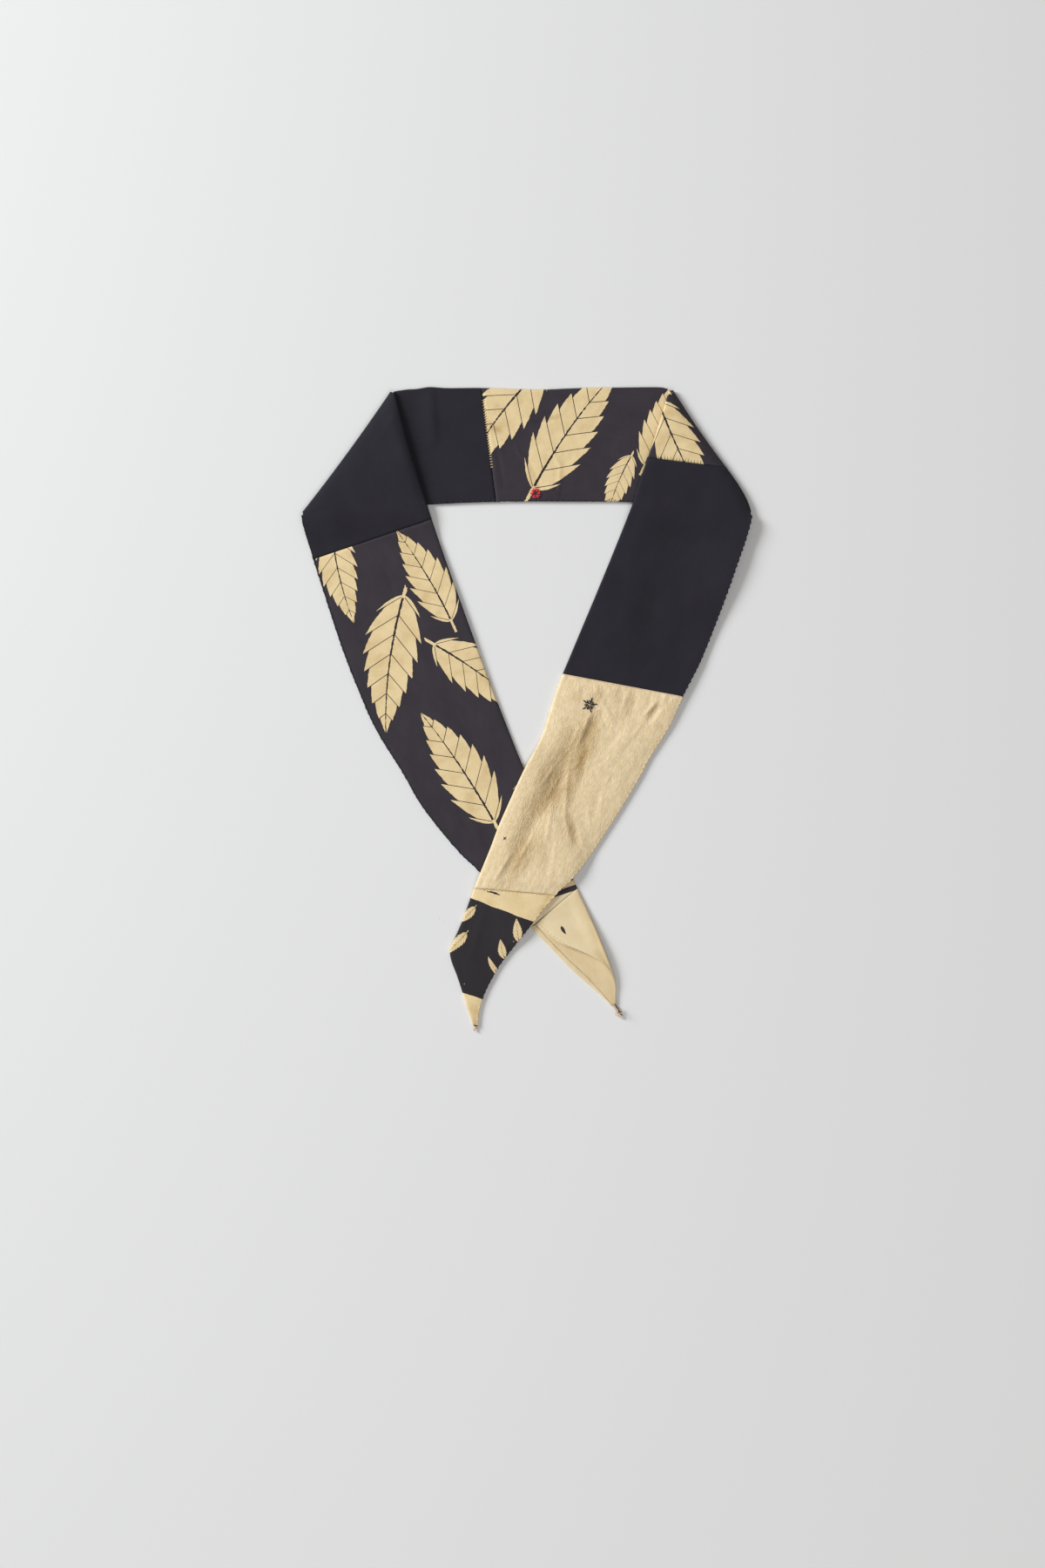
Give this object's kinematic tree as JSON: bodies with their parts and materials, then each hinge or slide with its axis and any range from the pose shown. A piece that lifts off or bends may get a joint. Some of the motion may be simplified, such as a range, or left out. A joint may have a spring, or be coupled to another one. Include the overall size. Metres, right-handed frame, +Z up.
{
  "type": "bandana",
  "caption": "Patchwork strip bandana laid flat as a neck loop: level band, corners folded over, two legs crossed, ends tapered and bound with thread.",
  "frame": {"origin": "on the surface it lies on, under the middle of the laid outline", "axes": "+X to the right as laid, +Y from the crossed points towards the band, +Z up"},
  "size_m": [0.361, 0.5166, 0.0058],
  "materials": {
    "plain_cotton": "matt plain weave, blue black",
    "printed_cotton": "fine weave, charcoal and cream print",
    "cream_silk": "creased cream silk, soft sheen",
    "cream_cotton": "pale cream cloth, hemmed",
    "thread": "wound sewing thread"
  },
  "bodies": {
    "root": {"band_left_plain": "plain_cotton", "band_right_print": "printed_cotton", "leg_left_print": "printed_cotton", "leg_right_plain": "plain_cotton", "leg_right_silk": "cream_silk", "tip_right_print": "printed_cotton", "tail_left_cream": "cream_cotton", "tail_left_hem": "cream_cotton", "tail_left_tie": "thread", "tip_right_tie": "thread"}
  },
  "joints": []
}
